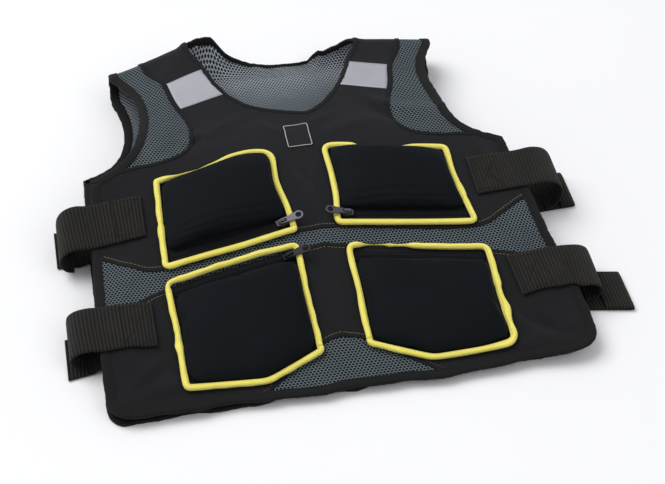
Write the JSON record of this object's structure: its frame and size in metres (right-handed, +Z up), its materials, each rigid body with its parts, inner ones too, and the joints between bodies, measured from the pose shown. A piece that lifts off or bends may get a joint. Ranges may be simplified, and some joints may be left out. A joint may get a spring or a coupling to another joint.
{
  "type": "weighted training vest",
  "caption": "Sleeveless weighted vest lying on its back, with filled, piped and zipped pockets on the front, mesh panels, bound edges and short webbing side straps.",
  "frame": {"origin": "Under the middle of the back, on the flat outer face of the back panel that rests on the floor.", "axes": "+X across the vest, to the right of someone who looks down on the front with the hem towards them; +Y from the hem to the shoulders; +Z up from the floor through the back to the front."},
  "size_m": [0.51, 0.4585, 0.0588],
  "materials": {
    "woven_cloth": "charcoal plain-woven polyester",
    "spacer_mesh": "grey-teal warp-knit spacer mesh",
    "binding_tape": "black ribbed grosgrain tape",
    "neoprene": "blue-black neoprene with a knit face",
    "piping": "yellow cloth-covered piping cord",
    "zip_tape": "black zip tape and nylon coil",
    "zip_metal": "dark gunmetal die casting",
    "reflective_cloth": "silver-grey retro-reflective cloth",
    "label": "bare woven label",
    "webbing": "black ribbed polypropylene webbing"
  },
  "bodies": {
    "vest": {"front_yoke": "woven_cloth", "front_skirt": "woven_cloth", "front_band_mesh": "spacer_mesh", "front_hem_mesh": "spacer_mesh", "arm_mesh_right": "spacer_mesh", "arm_mesh_left": "spacer_mesh", "back_panel": "spacer_mesh", "hem_binding_front": "binding_tape", "hem_binding_back": "binding_tape", "arm_binding_right": "binding_tape", "arm_binding_left": "binding_tape", "neck_binding": "binding_tape", "pocket_upper_left": "neoprene", "piping_upper_left": "piping", "zip_upper_left": "zip_tape", "slider_upper_left": "zip_metal", "pocket_upper_right": "neoprene", "piping_upper_right": "piping", "zip_upper_right": "zip_tape", "slider_upper_right": "zip_metal", "pocket_lower_left": "neoprene", "piping_lower_left": "piping", "zip_lower_left": "zip_tape", "slider_lower_left": "zip_metal", "pocket_lower_right": "neoprene", "piping_lower_right": "piping", "zip_lower_right": "zip_tape", "reflective_left": "reflective_cloth", "reflective_right": "reflective_cloth", "chest_label": "label", "strap_front_upper_left": "webbing", "strap_back_upper_left": "webbing", "strap_front_upper_right": "webbing", "strap_back_upper_right": "webbing", "strap_front_lower_left": "webbing", "strap_back_lower_left": "webbing", "strap_front_lower_right": "webbing", "strap_back_lower_right": "webbing"},
    "tab_upper_left": {"pull_upper_left": "zip_metal"},
    "tab_upper_right": {"pull_upper_right": "zip_metal"},
    "tab_lower_left": {"pull_lower_left": "zip_metal"}
  },
  "joints": [
    {"name": "flip_upper_left", "type": "hinge", "parent": "vest", "child": "tab_upper_left", "pos_m": [-0.03265, -0.03666, 0.03955], "axis": [0.2043, -0.9692, -0.1372], "range_deg": [0, 150]},
    {"name": "flip_upper_right", "type": "hinge", "parent": "vest", "child": "tab_upper_right", "pos_m": [0.03008, -0.03388, 0.03993], "axis": [0.1512, 0.9793, 0.1348], "range_deg": [0, 150]},
    {"name": "flip_lower_left", "type": "hinge", "parent": "vest", "child": "tab_lower_left", "pos_m": [-0.03308, -0.07451, 0.03349], "axis": [0.2101, -0.9625, -0.1717], "range_deg": [0, 150]}
  ]
}
